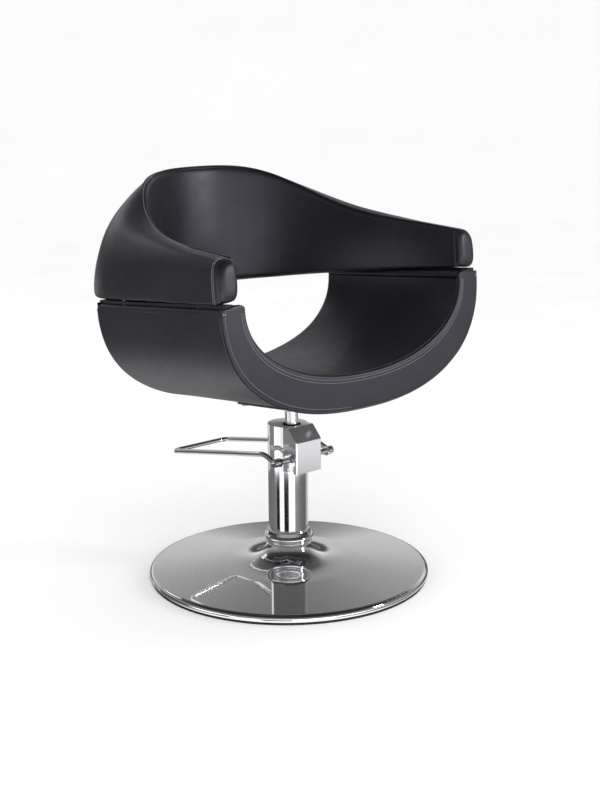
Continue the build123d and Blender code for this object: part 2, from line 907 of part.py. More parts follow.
with BuildPart() as back_frame:
    arch_prism(frame_outer, Mode.ADD)
    arch_prism(frame_inner, Mode.SUBTRACT)
    # The board stops half way up the padding and ends behind the arm caps.
    with BuildSketch(seat_side(-outer_half_width)):
        with BuildLine():
            crest = [(y, (foot_height(y) + crest_height(y)) / 2) for y in range(-200, 301, 50)]
            Polyline(
                (crest[0][0], crest[0][1]),
                (crest[0][0], band_bottom + 4.0),
                (crest[-1][0], band_bottom + 4.0),
                (crest[-1][0], crest[-1][1]),
            )
            Spline(*crest)
        make_face()
    extrude(amount=2 * outer_half_width, mode=Mode.INTERSECT)
    arm_bores(4.4, band_bottom - 10.0, band_bottom + 30.0)
save(back_frame.part, "back_frame")

with BuildPart() as back_inner_pad:
    add(band_body.part)
    arch_prism(frame_inner, Mode.INTERSECT)
    split(bisect_by=seat_facing(cap_line), keep=Keep.BOTTOM)
save(back_inner_pad.part, "back_inner_pad")

with BuildPart() as back_outer_pad:
    add(band_body.part)
    arch_prism(frame_inner, Mode.SUBTRACT)
    split(bisect_by=seat_facing(cap_line), keep=Keep.BOTTOM)
    add(back_frame.part, mode=Mode.SUBTRACT)
    arm_bores(4.4, band_bottom - 20.0, band_bottom + 30.0)
save(back_outer_pad.part, "back_outer_pad")

with BuildPart() as arm_caps:
    add(band_body.part)
    split(bisect_by=seat_facing(cap_line), keep=Keep.TOP)
save(arm_caps.part, "arm_caps")

# Four bolts tie the band to the cradle through a narrow rubber strip along each arm.


def cradle_top_at(y):
    """Height of the cradle's top above one place along the arm."""
    return top_front_height - (y - cradle_front) * math.tan(top_slope)


def band_foot_at(x, y):
    """Height of the band's underside above one place on the arm."""
    near = arm_offset(inner_foot, y)
    share = (x - near) / (arm_offset(outer_foot, y) - near)
    return foot_height(y) + share * (band_bottom - foot_height(y))


strip_front = -236.0
strip_rear = 167.0
strip_inner = 316.0
strip_outer = 335.0
strip_gap = 0.4
strip_places = [strip_front + (strip_rear - strip_front) * step / 6 for step in range(7)]

with BuildPart() as arm_spacers:
    with BuildSketch(seat_side(strip_inner)):
        with BuildLine():
            lower = Line(
                (strip_front, cradle_top_at(strip_front) + strip_gap),
                (strip_rear, cradle_top_at(strip_rear) + strip_gap),
            )
            upper = Polyline(
                *[
                    (y, min(band_foot_at(x, y) for x in (strip_inner, strip_outer)) - strip_gap)
                    for y in strip_places
                ]
            )
            Line(lower @ 0, upper @ 0)
            Line(lower @ 1, upper @ 1)
        make_face()
    extrude(amount=strip_outer - strip_inner)
    mirror(about=Plane.YZ)
    arm_bores(4.4, top_rear_height - 20.0, band_bottom + 20.0)
save(arm_spacers.part, "arm_spacers")

with BuildPart() as arm_bolts:
    with BuildSketch(seat_level(top_rear_height - 8.0)):
        for side in (-1, 1):
            for y in arm_bolt_places:
                with Locations((side * bolt_line_x, y)):
                    Circle(4.0)
    extrude(amount=band_bottom + 24.0 - top_rear_height + 8.0)
save(arm_bolts.part, "arm_bolts")
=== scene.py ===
import json
import math

import bmesh
import bpy
import numpy as np
from mathutils import Matrix, Vector
from mathutils.bvhtree import BVHTree
from mathutils.noise import noise as noise_at


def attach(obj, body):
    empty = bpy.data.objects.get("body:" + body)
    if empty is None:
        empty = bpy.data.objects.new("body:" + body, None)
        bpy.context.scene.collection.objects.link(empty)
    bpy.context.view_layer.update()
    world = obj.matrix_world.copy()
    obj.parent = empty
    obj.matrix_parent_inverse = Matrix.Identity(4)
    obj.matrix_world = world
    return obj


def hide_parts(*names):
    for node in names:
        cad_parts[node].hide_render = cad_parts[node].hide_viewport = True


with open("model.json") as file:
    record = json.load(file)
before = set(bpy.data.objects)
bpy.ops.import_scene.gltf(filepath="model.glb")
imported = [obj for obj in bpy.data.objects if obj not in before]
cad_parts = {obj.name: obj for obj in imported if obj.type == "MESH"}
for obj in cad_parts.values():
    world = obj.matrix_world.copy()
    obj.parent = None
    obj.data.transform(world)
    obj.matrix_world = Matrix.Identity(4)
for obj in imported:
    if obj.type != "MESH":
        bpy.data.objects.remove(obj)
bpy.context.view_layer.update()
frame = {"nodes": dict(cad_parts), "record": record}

# ---------------------------------------------------------------------------
# Camera
# ---------------------------------------------------------------------------

CAMERA_PLACE = (-1.94624, -2.23870, 1.10659)
CAMERA_YAW = math.radians(41.51363)
CAMERA_PITCH = math.radians(13.68386)
CAMERA_ROLL = math.radians(-0.40977)

forward = Vector(
    (
        math.sin(CAMERA_YAW) * math.cos(CAMERA_PITCH),
        math.cos(CAMERA_YAW) * math.cos(CAMERA_PITCH),
        -math.sin(CAMERA_PITCH),
    )
)
level_right = Vector((math.cos(CAMERA_YAW), -math.sin(CAMERA_YAW), 0))
level_up = level_right.cross(forward)
right = level_right * math.cos(CAMERA_ROLL) + level_up * math.sin(CAMERA_ROLL)
up = level_up * math.cos(CAMERA_ROLL) - level_right * math.sin(CAMERA_ROLL)

camera = bpy.data.objects.new("camera", bpy.data.cameras.new("camera"))
camera.matrix_world = Matrix(
    (
        (right.x, up.x, -forward.x, CAMERA_PLACE[0]),
        (right.y, up.y, -forward.y, CAMERA_PLACE[1]),
        (right.z, up.z, -forward.z, CAMERA_PLACE[2]),
        (0, 0, 0, 1),
    )
)
camera.data.sensor_width = 36.0
camera.data.lens = 65.3
camera.data.clip_end = 60.0
bpy.context.scene.collection.objects.link(camera)
bpy.context.scene.camera = camera
bpy.context.scene.view_settings.view_transform = "Standard"

# ---------------------------------------------------------------------------
# Shapes shared with the CAD model, in metres and in the leaning seat's frame
# ---------------------------------------------------------------------------

LEAN = math.radians(5.2)
PIVOT = 0.400
# The seat is a U that runs from front to rear with a facing at each end. Its arms are
# straight above the shoulder.
CRADLE_FRONT, CRADLE_REAR = -0.239, 0.172
FACING = 0.006
SHOULDER = 0.6195
# A layer of the seat's U: half its width, the height of its lowest point, its power.
OUTER_U = (0.343, 0.3905, 2.38)
INNER_U = (0.2875, 0.461, 2.15)
PLY_OUTER_U = (0.335, 0.3985, 2.38)
PLY_INNER_U = (0.320, 0.4135, 2.34)
TOP_FRONT, TOP_REAR = 0.626, 0.624
# The back band starts with a cap on each arm and stands just above the seat.
BAND_FRONT = -0.239
CAP_LINE = -0.222
BAND_BOTTOM = 0.6326
# An outline of the back band in plan: half its width, the y up to which its arms are
# straight, the y of its rearmost point, its power.
INNER_TOP = (0.296, -0.200, 0.259, 2.2)
INNER_FOOT = (0.296, -0.200, 0.270, 2.25)
OUTER_FOOT = (0.343, 0.1146, 0.305, 2.65)
# The band's crest is level with the arms at first and rises towards the back.
ARM_CREST, ARM_SLOPE = 0.717, 0.15
RISE_START, RISE_RUN, RISE_POWER, HALF_RISE = -0.1, 0.36, 1.75, 0.0455
FOOT_FRONT, FOOT_SLOPE, FOOT_LEVEL_FROM = 0.636, 0.036, 0.2
# The band's outer section is nearly square at the arms and round at the back.
ARM_POWER, BACK_POWER, BACK_CROWN = 5.2, 1.59, 0.0118


def to_world(points):
    """From the leaning seat's frame to the world's, for an array whose last axis is x, y, z."""
    p = np.asarray(points, float)
    x, y, z = p[..., 0], p[..., 1], p[..., 2] - PIVOT
    c, s = math.cos(LEAN), math.sin(LEAN)
    return np.stack([x, y * c + z * s, PIVOT + z * c - y * s], axis=-1)


def resample(points, count):
    """The same line with points spaced evenly along it."""
    p = np.asarray(points, float)
    run = np.concatenate([[0], np.cumsum(np.linalg.norm(np.diff(p, axis=0), axis=1))])
    at = np.linspace(0, run[-1], count)
    return np.stack([np.interp(at, run, p[:, k]) for k in range(p.shape[1])], axis=1)


def cradle_line(layer, top, count):
    """x, z along the U of one layer, from the left top round to the right top."""
    half_width, floor, power = layer
    angle = np.linspace(0, math.pi, 400)
    side = -np.sign(np.cos(angle)) * np.abs(np.cos(angle)) ** (2 / power)
    drop = np.sin(angle).clip(0) ** (2 / power)
    line = np.stack([half_width * side, SHOULDER - (SHOULDER - floor) * drop], axis=1)
    line = np.vstack([[-half_width, top], line, [half_width, top]])
    return resample(line, count)


def smooth(t):
    """0 below 0, 1 above 1 and an S between them."""
    t = np.clip(t, 0, 1)
    return t * t * (3 - 2 * t)


def crest_height(y):
    """Height of the band's crest at one distance from front to back."""
    rise = np.clip((y - RISE_START) / RISE_RUN, 0, 1) ** RISE_POWER
    return ARM_CREST + ARM_SLOPE * (y - CAP_LINE) + HALF_RISE * (1 - np.cos(np.pi * rise))


def foot_height(y):
    """Height of the band's inner foot, which sinks towards the back."""
    return FOOT_FRONT - FOOT_SLOPE * (np.minimum(y, FOOT_LEVEL_FROM) - CAP_LINE)


def roundness(y):
    """0 where the band's section is an arm's, 1 where it is the back's."""
    return smooth((y - RISE_START) / RISE_RUN) ** 0.4


def arch_reach(outline, direction):
    """Distance from the band's centre to an outline, along one direction in plan."""
    half_width, straight_to, back, power = outline
    near, far = 0.0, 0.8
    for _ in range(40):
        middle = (near + far) / 2
        x = abs(middle * direction[0]) / half_width
        y = max(middle * direction[1] - straight_to, 0.0) / (back - straight_to)
        near, far = (near, middle) if x**power + y**power > 1 else (middle, far)
    return near


def arm_offset(outline, y):
    """Distance from the chair's middle plane to an outline, at one y."""
    half_width, straight_to, back, power = outline
    run = max(y - straight_to, 0.0) / (back - straight_to)
    return half_width * (1 - run**power) ** (1 / power)


class Station:
    """One section of the back band: where it stands, which way is outward, and its sizes."""

    def __init__(self, origin_y, direction, y, near, far, foot_near):
        self.origin_y, self.direction = origin_y, direction
        self.near, self.far, self.foot_near = near, far, foot_near
        self.high, self.foot = float(crest_height(y)), float(foot_height(y))
        self.blend = float(roundness(y))

    def place(self, points):
        """Distance outward and height to the seat frame."""
        p = np.asarray(points, float)
        return np.stack(
            [p[..., 0] * self.direction[0], self.origin_y + p[..., 0] * self.direction[1], p[..., 1]],
            axis=-1,
        )

    def dome(self, count):
        """The skin from the crest over the outside down to the outer foot."""
        power = ARM_POWER + (BACK_POWER - ARM_POWER) * self.blend
        angle = np.linspace(math.pi / 2, 0, 200)
        out = np.cos(angle).clip(0) ** (2 / power)
        rise = np.sin(angle).clip(0) ** (2 / power)
        crown = BACK_CROWN * self.blend * 4 * out * (1 - out) * smooth((rise - 0.35) / 0.3)
        across = self.near + (self.far - self.near) * out
        height = BAND_BOTTOM + (self.high - BAND_BOTTOM) * rise + crown
        return resample(np.stack([across, height], axis=1), count)


def band_stations(arm_count, fan_count):
    """Stations from the left arm's front, round the back, to the right arm's front."""
    stations = []
    arm_y = np.linspace(CAP_LINE, -0.004, arm_count, endpoint=False)
    for y in arm_y:
        stations.append((y, (-1.0, 0.0)))
    for turn in np.linspace(0, math.pi, fan_count):
        stations.append((0.0, (-math.cos(turn), math.sin(turn))))
    for y in arm_y[::-1]:
        stations.append((y, (1.0, 0.0)))
    made = []
    for origin_y, direction in stations:
        outlines = (INNER_TOP, OUTER_FOOT, INNER_FOOT)
        if origin_y < 0:
            sizes = [arm_offset(outline, origin_y) for outline in outlines]
            y = origin_y
        else:
            sizes = [arch_reach(outline, direction) for outline in outlines]
            y = sizes[0] * direction[1]
        made.append(Station(origin_y, direction, y, *sizes))
    return made


# ---------------------------------------------------------------------------
# Mesh helpers
# ---------------------------------------------------------------------------

# The cloth may move the skin where its rounded edge has reached this share of its height.
FREE_ABOVE = 0.75
CLOTH_PRESSURE, CLOTH_FRAMES = 4.0, 20
EVENING_ROUNDS = 80
SHARP_ANGLE = math.radians(38)
# The leather's unevenness in metres, and its broad and its fine waves per metre.
UNEVENNESS, BROAD_WAVES, FINE_WAVES = 0.0006, 11.0, 38.0
TUBE_SIDES, THREAD_SIDES = 8, 6
# Along one stitch, from end to end: its thickness and how far it stands out, in thread radii.
STITCH_SHARE = np.array([0.0, 0.12, 0.5, 0.88, 1.0])
STITCH_THICKNESS = np.array([0.35, 0.85, 1.0, 0.85, 0.35])
STITCH_STAND = np.array([-0.9, 0.0, 0.45, 0.0, -0.9])


def new_mesh(name, verts, faces):
    """A smooth-shaded object from points and faces."""
    mesh = bpy.data.meshes.new(name)
    mesh.from_pydata([tuple(v) for v in verts], [], faces)
    mesh.update()
    mesh.polygons.foreach_set("use_smooth", [True] * len(mesh.polygons))
    piece = bpy.data.objects.new(name, mesh)
    bpy.context.scene.collection.objects.link(piece)
    return piece


def face_outward(piece):
    """Turn every face of a closed mesh to the outside."""
    bm = bmesh.new()
    bm.from_mesh(piece.data)
    bmesh.ops.recalc_face_normals(bm, faces=bm.faces)
    bm.to_mesh(piece.data)
    bm.free()


def mark_free(piece, numbers):
    """Name the vertices that the cloth simulation may move."""
    free = piece.vertex_groups.new(name="free")
    free.add([int(k) for k in numbers], 1.0, "REPLACE")


def spaced(length, radius, step):
    """Stations along an edge, close together near both ends so that the corner is round."""
    corner = radius * (1 - np.cos(np.linspace(0, math.pi / 2, 5)))
    inner = np.linspace(radius, length - radius, max(int((length - 2 * radius) / step), 2) + 1)
    return np.concatenate([corner[:-1], inner, (length - corner[:-1])[::-1]]) / length


def rounding(share, length, radius):
    """1 in the middle and a quarter circle down to 0 at both ends."""
    gap = np.minimum(share, 1 - share) * length
    return np.sqrt(1 - (1 - np.clip(gap / radius, 0, 1)) ** 2)


def pad(name, skin, back, size_u, size_v, depth, radius, step):
    """A closed pad between a skin surface and a back surface, each a function of u and v arrays.
    Its edges are rounded. The vertex group free marks the skin that may swell."""
    u, v = spaced(size_u, radius, step), spaced(size_v, radius, step)
    uu, vv = np.meshgrid(u, v, indexing="ij")
    top, low = skin(uu, vv), back(uu, vv)
    edge = rounding(uu, size_u, radius) * rounding(vv, size_v, radius)
    lift = 1 - (radius / depth) * (1 - edge)
    top = low + (top - low) * lift[..., None]
    nu, nv = uu.shape
    verts = [top.reshape(-1, 3), low.reshape(-1, 3)]

    def t(i, j):
        """Number of a vertex of the skin."""
        return i * nv + j

    def b(i, j):
        """Number of a vertex of the back."""
        return nu * nv + i * nv + j

    faces = []
    for i in range(nu - 1):
        for j in range(nv - 1):
            faces.append((t(i, j), t(i + 1, j), t(i + 1, j + 1), t(i, j + 1)))
            faces.append((b(i, j), b(i, j + 1), b(i + 1, j + 1), b(i + 1, j)))
    for i in range(nu - 1):
        faces.append((t(i, 0), b(i, 0), b(i + 1, 0), t(i + 1, 0)))
        faces.append((t(i + 1, nv - 1), b(i + 1, nv - 1), b(i, nv - 1), t(i, nv - 1)))
    for j in range(nv - 1):
        faces.append((t(0, j + 1), b(0, j + 1), b(0, j), t(0, j)))
        faces.append((t(nu - 1, j), b(nu - 1, j), b(nu - 1, j + 1), t(nu - 1, j + 1)))
    piece = new_mesh(name, to_world(np.vstack(verts)), faces)
    face_outward(piece)
    mark_free(piece, np.nonzero((edge > FREE_ABOVE).reshape(-1))[0])
    return piece


def evened(mesh, shift, loose):
    """The same movement spread evenly over the loose vertices, without the cloth's small ripples."""
    edges = np.zeros(len(mesh.edges) * 2, int)
    mesh.edges.foreach_get("vertices", edges)
    first, second = edges[::2], edges[1::2]
    count = len(shift)
    number = np.bincount(edges, minlength=count)[:, None]
    for _ in range(EVENING_ROUNDS):
        sums = []
        for k in range(3):
            onto_first = np.bincount(first, shift[second, k], count)
            sums.append(onto_first + np.bincount(second, shift[first, k], count))
        around = np.stack(sums, axis=1)
        shift = np.where(loose[:, None], 0.5 * shift + 0.5 * around / number, shift)
    return shift


def swell(piece, limit):
    """Puff the free skin with a cloth simulation held along the seams, and limit how far it moves."""
    mesh = piece.data
    count = len(mesh.vertices)
    rest = np.zeros(count * 3)
    mesh.vertices.foreach_get("co", rest)
    rest = rest.reshape(-1, 3)
    free = piece.vertex_groups["free"].index
    held = piece.vertex_groups.new(name="held")
    pinned = [v.index for v in mesh.vertices if not any(g.group == free for g in v.groups)]
    held.add(pinned, 1.0, "REPLACE")
    cloth = piece.modifiers.new("cloth", "CLOTH")
    settings = cloth.settings
    settings.quality = 5
    settings.mass = 0.4
    settings.tension_stiffness = settings.compression_stiffness = 40.0
    settings.shear_stiffness = 20.0
    settings.bending_stiffness = 2.0
    settings.use_pressure = True
    settings.uniform_pressure_force = CLOTH_PRESSURE
    settings.vertex_group_mass = "held"
    settings.effector_weights.gravity = 0.0
    cloth.point_cache.frame_start = 1
    cloth.point_cache.frame_end = CLOTH_FRAMES
    scene = bpy.context.scene
    for number in range(1, CLOTH_FRAMES + 1):
        scene.frame_set(number)
    found = piece.evaluated_get(bpy.context.evaluated_depsgraph_get())
    moved = np.zeros(count * 3)
    found.data.vertices.foreach_get("co", moved)
    moved = moved.reshape(-1, 3)
    scene.frame_set(1)
    piece.modifiers.remove(cloth)
    shift = moved - rest
    far = np.linalg.norm(shift, axis=1, keepdims=True)
    shift = shift * (limit * np.tanh(far / limit) / np.maximum(far, 1e-9))
    loose = np.ones(count, bool)
    loose[pinned] = False
    shift = evened(mesh, shift, loose)
    mesh.vertices.foreach_set("co", (rest + shift).ravel())
    mesh.update()


def subdivide(piece):
    """Apply one subdivision, so that the finished mesh itself is smooth."""
    modifier = piece.modifiers.new("subdivision", "SUBSURF")
    modifier.levels = 1
    found = piece.evaluated_get(bpy.context.evaluated_depsgraph_get())
    mesh = bpy.data.meshes.new_from_object(found)
    piece.modifiers.clear()
    piece.data = mesh
    piece.data.polygons.foreach_set("use_smooth", [True] * len(mesh.polygons))
    piece.data.set_sharp_from_angle(angle=SHARP_ANGLE)


def relax(piece):
    """Give the leather the slight unevenness of a hand-covered pad."""
    mesh = piece.data
    count = len(mesh.vertices)
    points, normals = np.zeros(count * 3), np.zeros(count * 3)
    mesh.vertices.foreach_get("co", points)
    mesh.vertex_normals.foreach_get("vector", normals)
    points, normals = points.reshape(-1, 3), normals.reshape(-1, 3)
    slow = np.array([noise_at(p) for p in points * BROAD_WAVES])
    quick = np.array([noise_at(p) for p in points * FINE_WAVES + 5.0])
    points += normals * (UNEVENNESS * (slow + 0.25 * quick))[:, None]
    mesh.vertices.foreach_set("co", points.ravel())
    mesh.update()


def carried(piece, finish):
    """Give a piece its material and let the seat carry it."""
    piece.data.materials.append(finish)
    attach(piece, "seat")


def soft_piece(piece, node, limit):
    """Puff an upholstered piece by at most limit, smooth it, and hide the node that it replaces."""
    swell(piece, limit)
    subdivide(piece)
    relax(piece)
    carried(piece, leather)
    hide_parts(node)


def surface_of(piece):
    """A search tree of a finished piece, to lay seams on."""
    bm = bmesh.new()
    bm.from_mesh(piece.data)
    tree = BVHTree.FromBMesh(bm)
    bm.free()
    return tree


def tube(name, path, radius):
    """A thin leather piping along a polyline."""
    sides = TUBE_SIDES
    path = np.asarray(path, float)
    tangent = np.gradient(path, axis=0)
    tangent /= np.linalg.norm(tangent, axis=1, keepdims=True)
    axis = np.cross(tangent, [0.13, 0.31, 0.94])
    axis /= np.linalg.norm(axis, axis=1, keepdims=True)
    other = np.cross(tangent, axis)
    angle = np.linspace(0, 2 * math.pi, sides, endpoint=False)
    ring = axis[:, None] * np.cos(angle)[None, :, None] + other[:, None] * np.sin(angle)[None, :, None]
    verts = path[:, None] + ring * radius
    count = len(path)
    faces = []
    for i in range(count - 1):
        for k in range(sides):
            n = (k + 1) % sides
            faces.append((i * sides + k, i * sides + n, (i + 1) * sides + n, (i + 1) * sides + k))
    faces.append(tuple(range(sides))[::-1])
    faces.append(tuple(range((count - 1) * sides, count * sides)))
    carried(new_mesh(name, verts.reshape(-1, 3), faces), leather)


def stitches(name, rows, radius, pitch=0.0052, length=0.0040):
    """Rows of short thread stitches. Each row is a list of (point, outward normal)."""
    sides, verts, faces = THREAD_SIDES, [], []
    for row in rows:
        points = np.array([p for p, _ in row])
        normals = np.array([n for _, n in row])
        run = np.concatenate([[0], np.cumsum(np.linalg.norm(np.diff(points, axis=0), axis=1))])
        for start in np.arange(pitch / 2, run[-1] - length, pitch):
            thick = STITCH_THICKNESS * radius
            stand = STITCH_STAND * radius
            at = start + STITCH_SHARE * length
            centre = np.stack([np.interp(at, run, points[:, k]) for k in range(3)], axis=1)
            normal = np.stack([np.interp(at, run, normals[:, k]) for k in range(3)], axis=1)
            normal /= np.linalg.norm(normal, axis=1, keepdims=True)
            along = centre[-1] - centre[0]
            along /= max(np.linalg.norm(along), 1e-9)
            side = np.cross(along, normal)
            first = len(verts)
            for k in range(len(at)):
                middle = centre[k] + normal[k] * stand[k]
                for n in range(sides):
                    a = 2 * math.pi * n / sides
                    outward = side[k] * math.cos(a) + normal[k] * math.sin(a)
                    verts.append(middle + outward * thick[k])
            for k in range(len(at) - 1):
                here, there = first + k * sides, first + (k + 1) * sides
                for n in range(sides):
                    m = (n + 1) % sides
                    faces.append((here + n, here + m, there + m, there + n))
            faces.append(tuple(first + n for n in range(sides))[::-1])
            faces.append(tuple(first + (len(at) - 1) * sides + n for n in range(sides)))
    carried(new_mesh(name, verts, faces), thread)


def laid_on(tree, path):
    """(point, normal) pairs for a path dropped onto the nearest surface."""
    row = []
    for p in path:
        place, normal, _, _ = tree.find_nearest(Vector(p))
        row.append((np.array(place), np.array(normal)))
    return row


# ---------------------------------------------------------------------------
# Materials
# ---------------------------------------------------------------------------


def material(name):
    """A new material with its nodes, links and main shader."""
    made = bpy.data.materials.new(name)
    made.use_nodes = True
    nodes = made.node_tree.nodes
    return made, nodes, made.node_tree.links, nodes["Principled BSDF"]


def place(nodes):
    """Position on the object itself, in metres."""
    return nodes.new("ShaderNodeTexCoord").outputs["Object"]


def noise(nodes, links, vector, scale, detail, roughness=0.55):
    texture = nodes.new("ShaderNodeTexNoise")
    texture.inputs["Scale"].default_value = scale
    texture.inputs["Detail"].default_value = detail
    texture.inputs["Roughness"].default_value = roughness
    links.new(vector, texture.inputs["Vector"])
    return texture.outputs["Fac"]


def ramp(nodes, links, value, stops):
    """Colours by value, from a list of (position, colour)."""
    made = nodes.new("ShaderNodeValToRGB")
    elements = made.color_ramp.elements
    while len(elements) < len(stops):
        elements.new(0.5)
    for element, (at, colour) in zip(elements, stops):
        element.position = at
        element.color = (*colour, 1.0)
    links.new(value, made.inputs["Fac"])
    return made.outputs["Color"]


def grey(value):
    return (value, value, value)


def darker(colour, share):
    return tuple(part * share for part in colour)


def bump(nodes, links, height, strength, distance, normal=None):
    made = nodes.new("ShaderNodeBump")
    made.inputs["Strength"].default_value = strength
    made.inputs["Distance"].default_value = distance
    links.new(height, made.inputs["Height"])
    if normal is not None:
        links.new(normal, made.inputs["Normal"])
    return made.outputs["Normal"]


def make_leather():
    made, nodes, links, shader = material("black_leather")
    vector = place(nodes)
    cells = nodes.new("ShaderNodeTexVoronoi")
    cells.feature = "DISTANCE_TO_EDGE"
    cells.inputs["Scale"].default_value = 620.0
    cells.inputs["Randomness"].default_value = 0.9
    links.new(vector, cells.inputs["Vector"])
    pebble = ramp(nodes, links, cells.outputs["Distance"], [(0.0, grey(0.0)), (0.16, grey(1.0))])
    fine = noise(nodes, links, vector, 900.0, 2.0)
    drift = noise(nodes, links, vector, 9.0, 3.0)
    creases = noise(nodes, links, vector, 55.0, 5.0, 0.6)
    shades = [(0.3, (0.0062, 0.0058, 0.0086)), (0.7, (0.0105, 0.0099, 0.0140))]
    links.new(ramp(nodes, links, drift, shades), shader.inputs["Base Color"])
    gloss = [(0.3, grey(0.34)), (0.7, grey(0.44))]
    links.new(ramp(nodes, links, creases, gloss), shader.inputs["Roughness"])
    low = bump(nodes, links, creases, 0.08, 0.0010)
    mid = bump(nodes, links, pebble, 0.16, 0.00025, low)
    links.new(bump(nodes, links, fine, 0.10, 0.00012, mid), shader.inputs["Normal"])
    shader.inputs["Specular IOR Level"].default_value = 0.70
    shader.inputs["Coat Weight"].default_value = 0.20
    shader.inputs["Coat Roughness"].default_value = 0.30
    shader.inputs["Specular Tint"].default_value = (0.85, 0.835, 1.0, 1.0)
    shader.inputs["Sheen Weight"].default_value = 0.04
    shader.inputs["Sheen Roughness"].default_value = 0.4
    return made


def make_thread():
    made, nodes, links, shader = material("grey_thread")
    twist = nodes.new("ShaderNodeTexWave")
    twist.inputs["Scale"].default_value = 900.0
    twist.inputs["Distortion"].default_value = 1.5
    links.new(place(nodes), twist.inputs["Vector"])
    shades = [(0.0, (0.26, 0.26, 0.28)), (1.0, (0.44, 0.43, 0.46))]
    links.new(ramp(nodes, links, twist.outputs["Fac"], shades), shader.inputs["Base Color"])
    links.new(bump(nodes, links, twist.outputs["Fac"], 0.4, 0.0002), shader.inputs["Normal"])
    shader.inputs["Roughness"].default_value = 0.55
    return made


def make_chrome(name, colour, rough, metallic=1.0):
    made, nodes, links, shader = material(name)
    vector = place(nodes)
    haze = noise(nodes, links, vector, 14.0, 5.0)
    wear = noise(nodes, links, vector, 160.0, 6.0)
    gloss = [(0.3, grey(rough)), (0.75, grey(rough + 0.03))]
    links.new(ramp(nodes, links, haze, gloss), shader.inputs["Roughness"])
    shades = [(0.35, colour), (0.75, darker(colour, 0.93))]
    links.new(ramp(nodes, links, wear, shades), shader.inputs["Base Color"])
    links.new(bump(nodes, links, haze, 0.004, 0.0003), shader.inputs["Normal"])
    shader.inputs["Metallic"].default_value = metallic
    return made


def make_steel(name, colour, rough, stretch=(8.0, 8.0, 500.0)):
    made, nodes, links, shader = material(name)
    mapping = nodes.new("ShaderNodeMapping")
    mapping.inputs["Scale"].default_value = stretch
    links.new(place(nodes), mapping.inputs["Vector"])
    lines = noise(nodes, links, mapping.outputs["Vector"], 3.0, 6.0, 0.7)
    gloss = [(0.3, grey(rough)), (0.7, grey(rough + 0.14))]
    links.new(ramp(nodes, links, lines, gloss), shader.inputs["Roughness"])
    shades = [(0.2, darker(colour, 0.88)), (0.8, colour)]
    links.new(ramp(nodes, links, lines, shades), shader.inputs["Base Color"])
    links.new(bump(nodes, links, lines, 0.10, 0.0003), shader.inputs["Normal"])
    shader.inputs["Metallic"].default_value = 1.0
    return made


def make_paint(name, colour, rough, scale, strength):
    made, nodes, links, shader = material(name)
    grain = noise(nodes, links, place(nodes), scale, 5.0)
    shades = [(0.3, darker(colour, 0.8)), (0.7, colour)]
    links.new(ramp(nodes, links, grain, shades), shader.inputs["Base Color"])
    gloss = [(0.3, grey(rough)), (0.7, grey(rough + 0.12))]
    links.new(ramp(nodes, links, grain, gloss), shader.inputs["Roughness"])
    links.new(bump(nodes, links, grain, strength, 0.0006), shader.inputs["Normal"])
    return made


def make_ply():
    made, nodes, links, shader = material("plywood")
    mapping = nodes.new("ShaderNodeMapping")
    mapping.inputs["Scale"].default_value = (12.0, 1.2, 12.0)
    links.new(place(nodes), mapping.inputs["Vector"])
    grain = noise(nodes, links, mapping.outputs["Vector"], 14.0, 8.0, 0.65)
    shades = [(0.3, (0.36, 0.24, 0.13)), (0.7, (0.62, 0.46, 0.28))]
    links.new(ramp(nodes, links, grain, shades), shader.inputs["Base Color"])
    gloss = [(0.3, grey(0.55)), (0.7, grey(0.75))]
    links.new(ramp(nodes, links, grain, gloss), shader.inputs["Roughness"])
    links.new(bump(nodes, links, grain, 0.25, 0.0004), shader.inputs["Normal"])
    return made


def make_floor():
    made, nodes, links, shader = material("pale_floor")
    grain = noise(nodes, links, place(nodes), 2.0, 3.0)
    shades = [(0.3, grey(0.92)), (0.7, grey(0.95))]
    links.new(ramp(nodes, links, grain, shades), shader.inputs["Base Color"])
    shader.inputs["Roughness"].default_value = 0.9
    shader.inputs["Specular IOR Level"].default_value = 0.1
    return made


leather = make_leather()
thread = make_thread()
finishes = {
    "chrome": make_chrome("chrome", (0.86, 0.86, 0.87), 0.035),
    # The head's chrome is 15 % diffuse near-white: painted reflection that lightens it.
    "head": make_chrome("satin_chrome_painted_reflection", (0.93, 0.93, 0.95), 0.10, metallic=0.85),
    "ground_steel": make_steel("ground_steel", (0.72, 0.72, 0.74), 0.20),
    "zinc_steel": make_steel("zinc_steel", (0.60, 0.60, 0.62), 0.32, (60.0, 60.0, 60.0)),
    "cast_iron": make_paint("cast_iron", (0.05, 0.05, 0.052), 0.6, 220.0, 0.5),
    "black_paint": make_paint("black_paint", (0.022, 0.022, 0.024), 0.42, 340.0, 0.25),
    "rubber": make_paint("rubber", (0.018, 0.018, 0.018), 0.62, 260.0, 0.3),
    "brass": make_steel("brass", (0.72, 0.54, 0.24), 0.28),
    "plywood": make_ply(),
    "leather": leather,
}
# The pump head is chrome in the record. Here it has a satin finish with a share of white diffuse
# colour, which is painted reflection that makes it lighter than the column.
for row in frame["record"]["subparts"]:
    key = "head" if row["node"] == "pump_head" else row["material_slot"]
    node = frame["nodes"][row["node"]]
    node.data.materials.clear()
    node.data.materials.append(finishes[key])

# ---------------------------------------------------------------------------
# Seat: cover, inner pad, front and rear facings, arm top pads
# ---------------------------------------------------------------------------

LINE_POINTS = 400
BODY_FRONT = CRADLE_FRONT + FACING
BODY_REAR = CRADLE_REAR - FACING
BODY_LENGTH = BODY_REAR - BODY_FRONT
# Soft pieces stop this far short of the ends of what they cover.
END_GAP = 0.0004
# The cover and the inner cushion end just below the pads on top of the arms.
PAD_TOP = TOP_REAR - 0.0125
# Lengths along the U, which set how closely its pieces are divided.
OUTER_RUN, INNER_RUN, FACING_RUN = 1.13, 0.90, 1.06
FACING_WIDTH = 0.050
